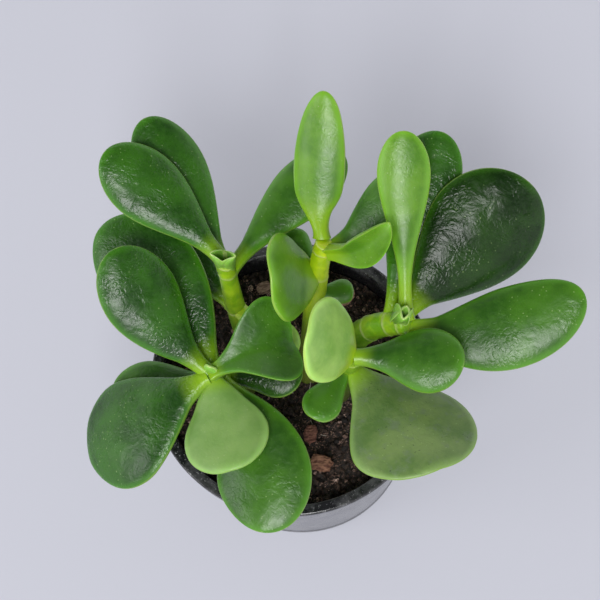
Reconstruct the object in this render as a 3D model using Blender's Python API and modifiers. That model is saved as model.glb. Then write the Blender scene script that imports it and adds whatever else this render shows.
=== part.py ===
"""Potted jade plant in a round nursery pot.

Five rooted shoots stand in one pot of potting soil. Each shoot is a fleshy stem with
thick paddle-shaped leaves set round its nodes and, where it is still growing, a bud of
small cupped leaves at its top. Every leaf, stem, bud leaf and bark chip, the soil and
the pot are solids of their own.

The origin is the centre of the pot's flat underside, +Z is up and -Y faces the viewer.
Table values are in millimetres and degrees; MM turns millimetres into metres.
"""

import math
from dataclasses import dataclass

import bmesh
import bpy
from mathutils import Matrix, Vector, noise

MM = 0.001
WELD = 0.00001          # points closer than this, in metres, are one point

# ---------------------------------------------------------------- driving dimensions
POT_HEIGHT = 70.0
RIM_RADIUS = 45.0
FOOT_RADIUS = 37.0
POT_WALL = 1.3
POT_FLOOR = 1.8
LIP_DEPTH = 7.0
LIP_WIDTH = 3.6
LIP_ROUND = 0.8
DRAIN_HOLES = 6
DRAIN_RADIUS = 3.0
DRAIN_CIRCLE = 24.0
DRAIN_START = 20.0

SOIL_DROP = 8.0
SOIL_SWELL = 1.2
SOIL_RIPPLE = 0.12      # swells of the soil's top for each millimetre across it
SOIL_SEED = Vector((3.7, 1.3, 0.0))
SOIL_CUTS = 5
ROOTING_DEPTH = 9.0
CLEARANCE = 0.3
SOCKET_GAP = 0.6
SOCKET_DEPTH = 2 * ROOTING_DEPTH
CUTTER_SIDES = 16

# Bark chips on the soil: (x, y), (length, width, height), turned by.
BARK_CHIPS = [
    ((20, 26), (8, 6, 4), 25),
    ((3, -18), (6, 4, 3), 70),
    ((5, -28), (7, 5, 4), -20),
    ((-5, 33), (5, 4, 3), 10),
]
BARK_ROUNDING = 0.8
BARK_GAP = 0.75

LEAF_THICKNESS = 3.6
LEAF_NECK = 2.1
NECK_SHARE = 0.2        # a small leaf's neck is no wider than this share of its blade
LEAF_FOLD = 8.0
FOLD_CURVE = 1.35       # above 1 the blade is flat beside its midrib and turns up later
PADDLE_FULLNESS = 0.62
LEAF_SIDES = 10
LEAF_RINGS = 10
MIDRIB_STEPS = 24
STEM_POINTS = 9
STEM_TAPER = 0.78
STEM_ROUNDNESS = 3
TURN_STEPS = 48

# The pot's inner wall leans like its outer one, so both come from the same two radii.
INNER_TOP = RIM_RADIUS - LIP_WIDTH
INNER_FOOT = FOOT_RADIUS - POT_WALL
SOIL_LEVEL = POT_HEIGHT - SOIL_DROP

# Each finish: its colour and its roughness.
FINISHES = {
    "pot_plastic": ((0.02, 0.02, 0.022), 0.35),
    "potting_soil": ((0.03, 0.018, 0.012), 0.95),
    "bark": ((0.2, 0.1, 0.05), 0.9),
    "stem_skin": ((0.25, 0.42, 0.02), 0.4),
    "leaf_skin": ((0.06, 0.2, 0.02), 0.3),
    "bud_skin": ((0.16, 0.34, 0.02), 0.35),
}


@dataclass
class Leaf:
    """One leaf: where its base sits on the stem, which way it points, and its size."""
    share: float            # how far up the stem its base sits, 0 at the root, 1 at the top
    heading: float          # compass direction, anticlockwise from +X
    rise: float             # angle above the horizontal at the base
    length: float
    width: float
    roll: float = 0.0       # blade turned about its own midrib
    bend: float = 0.0       # midrib curving up (+) or down (-) from base to tip
    sweep: float = 0.0      # midrib curving left (+) or right (-) from base to tip
    widest: float = 0.64    # share of the length at which the blade is widest
    fold: float = LEAF_FOLD
    thickness: float = LEAF_THICKNESS
    apart: float = 0.0      # on the stem's top only: how far off its middle the base sits


@dataclass
class Shoot:
    """One rooted shoot: its stem's path and thickness, its leaves and its bud leaves."""
    root: tuple
    knee: tuple
    top: tuple
    radius: float
    leaves: list
    bud: list


SHOOTS = {
    "back_left": Shoot(
        root=(-11, 10, 0), knee=(-14, 20, 83), top=(-14, 26, 112), radius=3.5,
        leaves=[
            Leaf(0.96, 125, 21, 46, 22, sweep=14, widest=0.66),
            Leaf(0.87, 108, 19, 50, 21, sweep=7, widest=0.66),
            Leaf(0.86, 45, 9, 48, 19, sweep=-17, widest=0.68),
            Leaf(0.52, 125, 25, 36, 20),
            Leaf(0.52, -50, 5, 22, 14),
        ],
        bud=[
            Leaf(1.0, 150, 70, 8, 6, thickness=1.8, fold=30, apart=2.2),
            Leaf(1.0, -30, 70, 8, 6, thickness=1.8, fold=30, apart=2.2),
        ]),
    "front_left": Shoot(
        root=(-15, 1, 0), knee=(-20, -2, 82), top=(-24, -5, 99), radius=3.8,
        leaves=[
            Leaf(0.93, 137, 30, 45, 24, roll=-7, sweep=-30),
            Leaf(0.95, -161, -7, 46, 35, roll=10, bend=-34, fold=14),
            Leaf(0.90, -86, 4, 28, 27, roll=10, bend=12, widest=0.56, fold=2),
            Leaf(0.97, 18, 22, 25, 31, sweep=-10, bend=-50, widest=0.72, fold=28),
            Leaf(0.75, -57, 0, 48, 30, roll=13, sweep=-58, fold=5),
            Leaf(0.56, 182, 1, 32, 22),
            Leaf(0.80, 103, 16, 57, 31, roll=-15, sweep=45, bend=-6, fold=13),
            Leaf(0.60, -5, 10, 22, 16),
        ],
        bud=[
            Leaf(1.0, 60, 70, 5, 4, thickness=1.8),
        ]),
    "back_middle": Shoot(
        root=(5, -1, 0), knee=(11, 18, 92), top=(16, 27, 111), radius=3.7,
        leaves=[
            Leaf(0.98, 81, 34, 43, 16, roll=-13, sweep=-7, widest=0.46),
            Leaf(0.92, -13, 35, 25, 14, roll=60, sweep=35, widest=0.55, fold=45),
            Leaf(0.86, 27, 31, 35, 17),
            Leaf(0.62, 182, 73, 27, 27, roll=-10, sweep=20, bend=-8, widest=0.57),
            Leaf(0.66, 118, 8, 13, 11),
            Leaf(0.50, 0, 12, 8, 8, thickness=2.4),
        ],
        bud=[]),
    "back_right": Shoot(
        root=(17, 7, 0), knee=(24, 5, 88), top=(37, 0, 105), radius=4.4,
        leaves=[
            Leaf(0.97, 82, 33, 54, 16, widest=0.76),
            Leaf(0.82, 71, 20, 56, 22, sweep=-15, widest=0.71),
            Leaf(0.92, 32, 14, 51, 33, roll=26, sweep=9, bend=4, fold=16),
            Leaf(0.95, -24, 6, 54, 25, roll=16, sweep=53, widest=0.56),
        ],
        bud=[
            Leaf(1.0, 75, 60, 8, 6, thickness=1.8, fold=25, apart=2.4),
            Leaf(1.0, -105, 68, 8, 6, thickness=1.8, fold=25, apart=2.2),
        ]),
    "front_right": Shoot(
        root=(13, -5, 0), knee=(17, -7, 92), top=(18.5, -8, 106), radius=3.7,
        leaves=[
            Leaf(1.0, 160, 66, 28, 25, roll=-6, sweep=10, widest=0.55, fold=12, apart=0.5),
            Leaf(0.92, -9, 10, 30, 20, roll=4, sweep=-15),
            Leaf(0.55, -53, 12, 43, 40, roll=-16, sweep=-20, bend=10, widest=0.61, fold=3),
            Leaf(0.55, -130, 15, 17, 12),
        ],
        bud=[]),
}


# ------------------------------------------------------------------- scene and helpers
def new_collection(name):
    """An empty collection in the scene."""
    collection = bpy.data.collections.new(name)
    bpy.context.scene.collection.children.link(collection)
    return collection


def principled(name):
    """The plain material of one finish: one colour and one roughness, not metallic."""
    colour, roughness = FINISHES[name]
    material = bpy.data.materials.new(name)
    material.use_nodes = True
    shader = material.node_tree.nodes["Principled BSDF"]
    shader.inputs["Base Color"].default_value = (*colour, 1.0)
    shader.inputs["Roughness"].default_value = roughness
    shader.inputs["Metallic"].default_value = 0.0
    return material


def add_mesh(name, shape, material, collection, smooth=True):
    """Turn a bmesh into an object of the given name."""
    mesh = bpy.data.meshes.new(name)
    shape.to_mesh(mesh)
    shape.free()
    mesh.polygons.foreach_set("use_smooth", [smooth] * len(mesh.polygons))
    mesh.materials.append(material)
    thing = bpy.data.objects.new(name, mesh)
    collection.objects.link(thing)
    return thing


# --------------------------------------------------------------------------------- pot
def pot_profile():
    """Half section from the floor's middle up the inside, over the lip, down the outside."""
    lip_bottom = POT_HEIGHT - LIP_DEPTH
    lean = (RIM_RADIUS - LIP_WIDTH + POT_WALL - FOOT_RADIUS) / POT_HEIGHT
    wall_under_lip = FOOT_RADIUS + lean * lip_bottom
    floor_corner = INNER_FOOT + lean * POT_FLOOR
    return [
        (0.0, POT_FLOOR),
        (floor_corner, POT_FLOOR),
        (INNER_TOP, POT_HEIGHT - LIP_ROUND),
        (INNER_TOP + LIP_ROUND, POT_HEIGHT),
        (RIM_RADIUS - LIP_ROUND, POT_HEIGHT),
        (RIM_RADIUS, POT_HEIGHT - LIP_ROUND),
        (RIM_RADIUS - LIP_ROUND / 2, lip_bottom),
        (wall_under_lip, lip_bottom),
        (FOOT_RADIUS + LIP_ROUND, 2 * LIP_ROUND),
        (FOOT_RADIUS - LIP_ROUND, 0.0),
        (0.0, 0.0),
    ]


def turn(thing, steps):
    """Turn a half section that lies in the XZ plane round the Z axis."""
    screw = thing.modifiers.new("turn", "SCREW")
    screw.axis = "Z"
    screw.angle = math.tau
    screw.steps = steps
    screw.render_steps = steps
    screw.use_merge_vertices = True
    screw.merge_threshold = WELD


def add_profile(name, points, material, collection):
    """An open chain of edges along a half section."""
    shape = bmesh.new()
    verts = [shape.verts.new((x * MM, 0.0, z * MM)) for x, z in points]
    for first, second in zip(verts, verts[1:]):
        shape.edges.new((first, second))
    return add_mesh(name, shape, material, collection, smooth=False)


def build_pot(collection, cutters):
    """Thin plastic pot with a turned-out lip and a ring of drain holes in its floor."""
    plastic = principled("pot_plastic")
    pot = add_profile("nursery_pot", pot_profile(), plastic, collection)
    turn(pot, TURN_STEPS)
    for number in range(DRAIN_HOLES):
        angle = math.radians(DRAIN_START) + math.tau * number / DRAIN_HOLES
        shape = bmesh.new()
        place = Matrix.Translation((DRAIN_CIRCLE * MM * math.cos(angle),
                                    DRAIN_CIRCLE * MM * math.sin(angle), 0.0))
        radius = DRAIN_RADIUS * MM
        bmesh.ops.create_cone(shape, cap_ends=True, segments=CUTTER_SIDES, radius1=radius,
                              radius2=radius, depth=4 * POT_FLOOR * MM, matrix=place)
        cutter = add_mesh(f"drain_cutter_{number + 1}", shape, plastic, cutters)
        cut = pot.modifiers.new(f"drain_{number + 1}", "BOOLEAN")
        cut.operation = "DIFFERENCE"
        cut.solver = "EXACT"
        cut.object = cutter


# -------------------------------------------------------------------------------- stems
def stem_axis(shoot, share):
    """Point on the stem's smooth path, and its direction, at a share of the way up."""
    root = Vector((shoot.root[0], shoot.root[1], SOIL_LEVEL - ROOTING_DEPTH))
    knee = Vector(shoot.knee)
    top = Vector(shoot.top)
    point = ((1 - share) * (1 - 2 * share) * root
             + 4 * share * (1 - share) * knee
             + share * (2 * share - 1) * top)
    slope = (4 * share - 3) * root + (4 - 8 * share) * knee + (4 * share - 1) * top
    return point, slope.normalized()


def stem_radius(shoot, share):
    """The stem's radius at a share of the way up."""
    return shoot.radius * (1 - (1 - STEM_TAPER) * share)


def build_stem(name, shoot, material, collection):
    """A fleshy stem: a bevelled path that tapers towards its top."""
    curve = bpy.data.curves.new(name, "CURVE")
    curve.dimensions = "3D"
    curve.bevel_depth = MM
    curve.bevel_resolution = STEM_ROUNDNESS
    curve.use_fill_caps = True
    spline = curve.splines.new("POLY")
    spline.points.add(STEM_POINTS - 1)
    for number, point in enumerate(spline.points):
        share = number / (STEM_POINTS - 1)
        place, _ = stem_axis(shoot, share)
        point.co = (*(place * MM), 1.0)
        point.radius = stem_radius(shoot, share)
    path = bpy.data.objects.new(name, curve)
    collection.objects.link(path)
    bpy.context.view_layer.update()
    finished = path.evaluated_get(bpy.context.evaluated_depsgraph_get())
    mesh = bpy.data.meshes.new_from_object(finished)
    bpy.data.objects.remove(path)
    bpy.data.curves.remove(curve)
    shape = bmesh.new()
    shape.from_mesh(mesh)
    bpy.data.meshes.remove(mesh)
    bmesh.ops.remove_doubles(shape, verts=shape.verts, dist=WELD)
    return add_mesh(name, shape, material, collection)


# ------------------------------------------------------------------------------- leaves
def leaf_half_width(leaf, along):
    """Half the blade's width: a narrow neck that opens into a round-ended paddle."""
    power = math.log(0.5) / math.log(leaf.widest)
    paddle = math.sin(math.pi * min(along, 1.0) ** power) ** PADDLE_FULLNESS
    neck = min(LEAF_NECK, leaf.width * NECK_SHARE) * (1 - along)
    return math.hypot(leaf.width / 2 * paddle, neck)


def leaf_half_thickness(leaf, along):
    """Half the blade's thickness, rounding off to nothing at the tip."""
    return leaf.thickness / 2 * math.sqrt(max(1 - along ** 4, 0.0))


def leaf_axes(leaf, along):
    """Axes of the leaf at a share of its length: along the midrib, across it, and up."""
    start = (Matrix.Rotation(math.radians(leaf.heading), 3, "Z")
             @ Matrix.Rotation(math.radians(-leaf.rise), 3, "Y")
             @ Matrix.Rotation(math.radians(leaf.roll), 3, "X"))
    curl = (Matrix.Rotation(math.radians(leaf.sweep * along), 3, "Z")
            @ Matrix.Rotation(math.radians(-leaf.bend * along), 3, "Y"))
    return start @ curl


def leaf_base(shoot, leaf):
    """Where the leaf starts: the clearance away from the stem's side, or from its top."""
    middle, upward = stem_axis(shoot, leaf.share)
    pointing = leaf_axes(leaf, 0.0).col[0]
    lean = pointing.dot(upward)
    outward = (pointing - upward * lean).normalized()
    if leaf.share == 1.0:
        lift = CLEARANCE + leaf.thickness / 2 * math.sqrt(1 - lean ** 2)
        return middle + upward * lift + outward * leaf.apart
    reach = stem_radius(shoot, leaf.share) + CLEARANCE + leaf.thickness / 2 * abs(lean)
    return middle + outward * reach


def midrib_point(base, leaf, along):
    """Point on the curved midrib, found by walking along it in short steps."""
    point = base.copy()
    for step in range(MIDRIB_STEPS):
        middle = along * (step + 0.5) / MIDRIB_STEPS
        point += leaf_axes(leaf, middle).col[0] * (leaf.length * along / MIDRIB_STEPS)
    return point


def build_leaf(name, shoot, leaf, material, collection):
    """A ball pulled out into a thick, gently folded blade, with its poles at base and tip."""
    shape = bmesh.new()
    bmesh.ops.create_uvsphere(shape, u_segments=LEAF_SIDES, v_segments=LEAF_RINGS, radius=1.0)
    base = leaf_base(shoot, leaf)
    fold = math.radians(leaf.fold)
    first_ring = math.cos(math.pi / LEAF_RINGS)
    for vert in shape.verts:
        along = min(max((first_ring + vert.co.z) / (first_ring + 1), 0.0), 1.0)
        ring = math.hypot(vert.co.x, vert.co.y)
        at_pole = ring < WELD
        across = 0.0 if at_pole else vert.co.x / ring
        upward = 0.0 if at_pole else vert.co.y / ring
        half_width = leaf_half_width(leaf, along)
        axes = leaf_axes(leaf, along)
        sideways = half_width * across * math.cos(fold * abs(across))
        lift = half_width * abs(across) ** FOLD_CURVE * math.sin(fold)
        lift += leaf_half_thickness(leaf, along) * upward
        point = midrib_point(base, leaf, along) + axes.col[1] * sideways + axes.col[2] * lift
        vert.co = point * MM
    return add_mesh(name, shape, material, collection)


# --------------------------------------------------------------------------------- soil
def soil_height(x, y):
    """Height of the soil's uneven top."""
    spot = Vector((x, y, 0.0)) * SOIL_RIPPLE + SOIL_SEED
    return SOIL_LEVEL + SOIL_SWELL * noise.noise(spot)


def build_soil(collection, cutters):
    """Potting soil that fills the pot, with an uneven top and a socket for each stem."""
    earth = principled("potting_soil")
    lean = (INNER_TOP - INNER_FOOT) / (POT_HEIGHT - LIP_ROUND)
    low = POT_FLOOR + CLEARANCE
    low_radius = INNER_FOOT + lean * low - CLEARANCE
    top_radius = INNER_FOOT + lean * SOIL_LEVEL - CLEARANCE
    shape = bmesh.new()
    middle = Matrix.Translation((0.0, 0.0, (low + SOIL_LEVEL) / 2 * MM))
    bmesh.ops.create_cone(shape, cap_ends=True, cap_tris=True, segments=TURN_STEPS,
                          radius1=low_radius * MM, radius2=top_radius * MM,
                          depth=(SOIL_LEVEL - low) * MM, matrix=middle)
    top_middle = max(shape.verts, key=lambda vert: vert.co.z - vert.co.xy.length)
    bmesh.ops.subdivide_edges(shape, edges=top_middle.link_edges[:], cuts=SOIL_CUTS,
                              use_grid_fill=True)
    for vert in shape.verts:
        radius = vert.co.xy.length / MM
        if vert.co.z > (SOIL_LEVEL - CLEARANCE) * MM and radius < top_radius - 1:
            vert.co.z = soil_height(vert.co.x / MM, vert.co.y / MM) * MM
    soil = add_mesh("potting_soil", shape, earth, collection)
    for name, shoot in SHOOTS.items():
        socket = build_socket(f"{name}_socket_cutter", shoot, earth, cutters)
        cut = soil.modifiers.new(f"{name}_socket", "BOOLEAN")
        cut.operation = "DIFFERENCE"
        cut.solver = "EXACT"
        cut.object = socket


def build_socket(name, shoot, material, cutters):
    """Cutter for the hole that a stem stands in, the clearance wider than the stem."""
    start, upward = stem_axis(shoot, 0.0)
    radius = (shoot.radius + SOCKET_GAP) * MM
    shape = bmesh.new()
    turned = upward.to_track_quat("Z", "Y").to_matrix().to_4x4()
    place = Matrix.Translation((start + upward * (SOCKET_DEPTH / 2 - CLEARANCE)) * MM) @ turned
    bmesh.ops.create_cone(shape, cap_ends=True, segments=CUTTER_SIDES, radius1=radius,
                          radius2=radius, depth=SOCKET_DEPTH * MM, matrix=place)
    return add_mesh(name, shape, material, cutters)


def build_bark(collection):
    """Chips of composted bark that lie on the soil."""
    bark = principled("bark")
    for number, ((x, y), size, turned) in enumerate(BARK_CHIPS, start=1):
        shape = bmesh.new()
        bmesh.ops.create_cube(shape, size=1.0)
        bmesh.ops.scale(shape, vec=Vector(size) * MM, verts=shape.verts)
        bmesh.ops.bevel(shape, geom=shape.edges, offset=BARK_ROUNDING * MM, segments=1,
                        affect="EDGES")
        chip = add_mesh(f"bark_chip_{number}", shape, bark, collection, smooth=False)
        chip.rotation_euler.z = math.radians(turned)
        height = soil_height(x, y) + BARK_GAP + size[2] / 2
        chip.location = Vector((x, y, height)) * MM


def build_plant(collection):
    """The five shoots: each one's stem, leaves and bud leaves."""
    stem_skin = principled("stem_skin")
    leaf_skin = principled("leaf_skin")
    bud_skin = principled("bud_skin")
    for name, shoot in SHOOTS.items():
        build_stem(f"{name}_stem", shoot, stem_skin, collection)
        for number, leaf in enumerate(shoot.leaves, start=1):
            build_leaf(f"{name}_leaf_{number}", shoot, leaf, leaf_skin, collection)
        for number, leaf in enumerate(shoot.bud, start=1):
            build_leaf(f"{name}_bud_leaf_{number}", shoot, leaf, bud_skin, collection)


def main():
    """The whole potted plant, with its cutters hidden."""
    for thing in list(bpy.data.objects):
        bpy.data.objects.remove(thing)
    plant = new_collection("potted_jade_plant")
    cutters = new_collection("cutters")
    build_pot(plant, cutters)
    build_soil(plant, cutters)
    build_bark(plant)
    build_plant(plant)
    for cutter in cutters.objects:
        cutter.hide_render = True
        cutter.display_type = "WIRE"


main()
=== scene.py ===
import math
import random

import bpy
from mathutils import Matrix, Vector, noise


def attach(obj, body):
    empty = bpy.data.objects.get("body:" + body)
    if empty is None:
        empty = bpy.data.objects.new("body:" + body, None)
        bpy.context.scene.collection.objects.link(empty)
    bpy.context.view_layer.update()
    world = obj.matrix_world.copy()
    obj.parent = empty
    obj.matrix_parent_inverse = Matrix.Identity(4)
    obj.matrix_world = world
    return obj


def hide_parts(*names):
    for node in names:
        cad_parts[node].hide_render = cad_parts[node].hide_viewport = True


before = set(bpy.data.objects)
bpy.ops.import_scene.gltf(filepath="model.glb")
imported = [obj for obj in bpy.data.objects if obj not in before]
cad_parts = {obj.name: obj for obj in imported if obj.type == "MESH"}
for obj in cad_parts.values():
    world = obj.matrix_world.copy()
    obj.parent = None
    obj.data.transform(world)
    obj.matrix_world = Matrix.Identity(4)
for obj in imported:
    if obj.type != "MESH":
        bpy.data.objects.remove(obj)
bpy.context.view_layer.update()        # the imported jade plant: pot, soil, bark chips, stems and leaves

MM = 0.001


# ---------------------------------------------------------------------------------------
# TABLE, LIGHT AND VIEW. The plant stands on a pale lavender table top, in soft daylight from
# high in front, with a weaker light on the left and pale walls all round. It is seen from
# above, a little to the front.

TABLE_SIZE = 6.0
TABLE_COLOUR = (0.50, 0.505, 0.565)
TABLE_SHADE = (0.485, 0.49, 0.55)
TABLE_GLOW = (0.14, 0.141, 0.16)
TABLE_ROUGHNESS = 0.55
TABLE_GRAIN = 900.0            # grains to the metre
TABLE_GRAIN_DEPTH = 0.00002    # depths of relief are in metres


def clear_selection():
    """Nothing is selected and nothing is being edited."""
    if bpy.context.object and bpy.context.object.mode != "OBJECT":
        bpy.ops.object.mode_set(mode="OBJECT")
    bpy.ops.object.select_all(action="DESELECT")


def new_finish(name):
    """An empty node material; returns it, its nodes, its links and its shader."""
    finish = bpy.data.materials.new(name)
    finish.use_nodes = True
    tree = finish.node_tree
    return finish, tree.nodes, tree.links, tree.nodes["Principled BSDF"]


def noise_at(nodes, links, scale, detail=3.0, roughness=0.5, distortion=0.0, place=None):
    """A noise pattern in the piece's own space; scale is in bumps per metre."""
    if place is None:
        place = nodes.new("ShaderNodeTexCoord").outputs["Object"]
    pattern = nodes.new("ShaderNodeTexNoise")
    pattern.inputs["Scale"].default_value = scale
    pattern.inputs["Detail"].default_value = detail
    pattern.inputs["Roughness"].default_value = roughness
    pattern.inputs["Distortion"].default_value = distortion
    links.new(place, pattern.inputs["Vector"])
    return pattern.outputs["Fac"]


def stepped(nodes, links, value, low, high, start=0.0, end=1.0):
    """A value carried from the range low-high to the range start-end, and held there."""
    ramp = nodes.new("ShaderNodeMapRange")
    ramp.interpolation_type = "SMOOTHSTEP"
    ramp.inputs["From Min"].default_value = low
    ramp.inputs["From Max"].default_value = high
    ramp.inputs["To Min"].default_value = start
    ramp.inputs["To Max"].default_value = end
    links.new(value, ramp.inputs["Value"])
    return ramp.outputs["Result"]


def two_colours(nodes, links, share, first, second):
    """One colour laid over another by a share; each is a colour or another mix."""
    mix = nodes.new("ShaderNodeMix")
    mix.data_type = "RGBA"
    links.new(share, mix.inputs["Factor"])
    for socket, colour in (("A", first), ("B", second)):
        target = [s for s in mix.inputs if s.name == socket and s.type == "RGBA"][0]
        if isinstance(colour, tuple):
            target.default_value = (*colour, 1.0)
        else:
            links.new(colour, target)
    return [s for s in mix.outputs if s.type == "RGBA"][0]


def product(nodes, links, first, second):
    """Two values multiplied; the second may be a plain number."""
    times = nodes.new("ShaderNodeMath")
    times.operation = "MULTIPLY"
    links.new(first, times.inputs[0])
    if isinstance(second, float):
        times.inputs[1].default_value = second
    else:
        links.new(second, times.inputs[1])
    return times.outputs["Value"]


def add_relief(nodes, links, shader, height, depth, below=None):
    """Fine relief of a given depth in metres, laid over any relief that is there."""
    bump = nodes.new("ShaderNodeBump")
    bump.inputs["Distance"].default_value = depth
    links.new(height, bump.inputs["Height"])
    if below is not None:
        links.new(below, bump.inputs["Normal"])
    links.new(bump.outputs["Normal"], shader.inputs["Normal"])
    return bump.outputs["Normal"]


clear_selection()
bpy.ops.mesh.primitive_plane_add(size=TABLE_SIZE, location=(0.0, 0.0, 0.0))
table = bpy.context.object
table.name = "table_top"
bpy.ops.object.transform_apply(location=True, rotation=True, scale=True)
finish, nodes, links, shader = new_finish("matt_table_paint")
cloud = noise_at(nodes, links, 4.0, detail=2.0)
links.new(two_colours(nodes, links, cloud, TABLE_COLOUR, TABLE_SHADE), shader.inputs["Base Color"])
shader.inputs["Roughness"].default_value = TABLE_ROUGHNESS
shader.inputs["Emission Color"].default_value = (*TABLE_GLOW, 1.0)
shader.inputs["Emission Strength"].default_value = 1.0
add_relief(nodes, links, shader, noise_at(nodes, links, TABLE_GRAIN), TABLE_GRAIN_DEPTH)
table.data.materials.append(finish)


# Each soft light: its place, its size and its power in watts.
SOFT_LIGHTS = {
    "window_light": ((-0.45, -1.80, 2.65), 1.3, 62.0),
    "side_window_light": ((-2.4, -0.4, 1.7), 1.2, 14.0),
}
LIT_POINT = Vector((0.0, 0.0, 0.06))


def add_soft_light(name, place, size, watts):
    """A square soft box of white light that faces the middle of the plant."""
    lamp = bpy.data.lights.new(name, "AREA")
    lamp.shape = "SQUARE"
    lamp.size = size
    lamp.energy = watts
    holder = bpy.data.objects.new(name, lamp)
    bpy.context.scene.collection.objects.link(holder)
    holder.location = place
    toward = LIT_POINT - Vector(place)
    holder.rotation_euler = toward.to_track_quat("-Z", "Y").to_euler()


for name, (place, size, watts) in SOFT_LIGHTS.items():
    add_soft_light(name, place, size, watts)

sky = bpy.data.worlds.new("pale_room")       # pale walls all round, and a dim ceiling
sky.use_nodes = True
nodes, links = sky.node_tree.nodes, sky.node_tree.links
upward = nodes.new("ShaderNodeSeparateXYZ")
links.new(nodes.new("ShaderNodeTexCoord").outputs["Generated"], upward.inputs["Vector"])
walls = nodes.new("ShaderNodeValToRGB")
walls.color_ramp.interpolation = "EASE"
WALL_TINT = (0.97, 0.98, 1.0)
WALL_GLOW = [(0.0, 1.00), (0.40, 0.95), (0.62, 0.45), (0.80, 0.13), (1.0, 0.13)]
while len(walls.color_ramp.elements) < len(WALL_GLOW):
    walls.color_ramp.elements.new(0.5)
for element, (height, glow) in zip(walls.color_ramp.elements, WALL_GLOW):
    element.position = height
    element.color = (*(glow * tint for tint in WALL_TINT), 1.0)
links.new(upward.outputs["Z"], walls.inputs["Fac"])
links.new(walls.outputs["Color"], nodes["Background"].inputs["Color"])
bpy.context.scene.world = sky
bpy.context.scene.view_settings.view_transform = "Standard"

FILM_WIDTH = 36.0
LENS_LENGTH = 90.0
camera_data = bpy.data.cameras.new("view_from_above")
camera_data.sensor_width = FILM_WIDTH
camera_data.lens = LENS_LENGTH
camera_data.clip_start = 0.01
camera_data.clip_end = 50.0
camera = bpy.data.objects.new("view_from_above", camera_data)
bpy.context.scene.collection.objects.link(camera)
VIEW_PLACE = Vector((0.0060, -0.1367, 0.5255))
VIEW_RIGHT = Vector((0.9890, -0.1393, -0.0493))
VIEW_UP = Vector((0.1478, 0.9323, 0.3301))
VIEW_BACK = Vector((0.0, -0.3338, 0.9426))
turned = Matrix((VIEW_RIGHT, VIEW_UP, VIEW_BACK)).transposed()
camera.matrix_world = Matrix.Translation(VIEW_PLACE) @ turned.to_4x4()
bpy.context.scene.camera = camera


# ---------------------------------------------------------------------------------------
# NURSERY POT. A thin round pot of black polypropylene, moulded in one piece: leaning wall,
# turned-out lip and a floor with six drain holes. It is glossy, with a dusty, scuffed lip.

POT_HEIGHT = 70.0
RIM_RADIUS = 45.0
FOOT_RADIUS = 37.0
POT_WALL = 1.3
POT_FLOOR = 1.8
LIP_DEPTH = 7.0
LIP_WIDTH = 3.6
LIP_ROUND = 0.8
DRAIN_HOLES = 6
DRAIN_RADIUS = 3.0
DRAIN_CIRCLE = 24.0
DRAIN_START = 20.0
POT_SIDES = 144
FOOT_ROUND = 0.7
FOOT_RING_INSIDE = 2.2         # how far the flat ring it stands on lies inside the foot
FOOT_RING_OUTSIDE = 0.8
HOLLOW_INSET = 4.0             # the middle of the underside is lifted off the table
HOLLOW_LIFT = 0.5
FOOT_BAND = 2.3                # a faint step in the wall above the foot
BAND_SOFTNESS = 0.3
WALL_SET_BACK = 0.12
WALL_RING_GAP = 6
LIP_CORNER = 0.5
LIP_DISH = 0.12
DUSTY_LIP = (0.0655, 0.0692)   # metres up the pot between which dust gathers
WALL_LEAN = (RIM_RADIUS - LIP_WIDTH + POT_WALL - FOOT_RADIUS) / POT_HEIGHT


def outer_wall(height):
    """Radius of the pot's outside at a height under the lip."""
    return FOOT_RADIUS + WALL_LEAN * height


def rounded(corner, radius, start, end, steps=4):
    """Points round a corner of the section, from one compass angle to another."""
    points = []
    for step in range(steps + 1):
        angle = math.radians(start + (end - start) * step / steps)
        points.append((corner[0] + radius * math.cos(angle),
                       corner[1] + radius * math.sin(angle)))
    return points


lip_bottom = POT_HEIGHT - LIP_DEPTH
inner_top = RIM_RADIUS - LIP_WIDTH
band_start, band_end = FOOT_BAND - BAND_SOFTNESS, FOOT_BAND + BAND_SOFTNESS
pot_section = [(FOOT_RADIUS - FOOT_RING_INSIDE, 0.0), (FOOT_RADIUS - FOOT_RING_OUTSIDE, 0.0)]
pot_section += rounded((FOOT_RADIUS - 0.5, FOOT_ROUND), FOOT_ROUND, -80, 0)
pot_section += [(outer_wall(band_start), band_start), (outer_wall(FOOT_BAND), FOOT_BAND)]
pot_section += [(outer_wall(band_end) - WALL_SET_BACK, band_end)]
pot_section += [(outer_wall(height) - WALL_SET_BACK, height)
                for height in range(4, 62, WALL_RING_GAP)]
pot_section += [(outer_wall(lip_bottom) - 0.1, lip_bottom - LIP_CORNER)]
pot_section += [(outer_wall(lip_bottom) + 0.3, lip_bottom)]
pot_section += rounded((RIM_RADIUS - 1.0, lip_bottom + LIP_CORNER), LIP_CORNER, -90, 0)
pot_section += [(RIM_RADIUS - 0.35, POT_HEIGHT - 4.0)]
pot_section += rounded((RIM_RADIUS - LIP_ROUND, POT_HEIGHT - LIP_ROUND), LIP_ROUND, 0, 90)
pot_section += [(RIM_RADIUS - 1.7, POT_HEIGHT - LIP_DISH), (inner_top + 1.5, POT_HEIGHT - LIP_DISH)]
pot_section += rounded((inner_top + LIP_ROUND, POT_HEIGHT - LIP_ROUND), LIP_ROUND, 90, 180)
pot_section += [(outer_wall(height) - POT_WALL, height) for height in range(66, 4, -WALL_RING_GAP)]
pot_section += [(outer_wall(POT_FLOOR) - POT_WALL - 0.5, POT_FLOOR + 0.3)]
pot_section += [(outer_wall(POT_FLOOR) - POT_WALL - 1.5, POT_FLOOR)]

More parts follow.
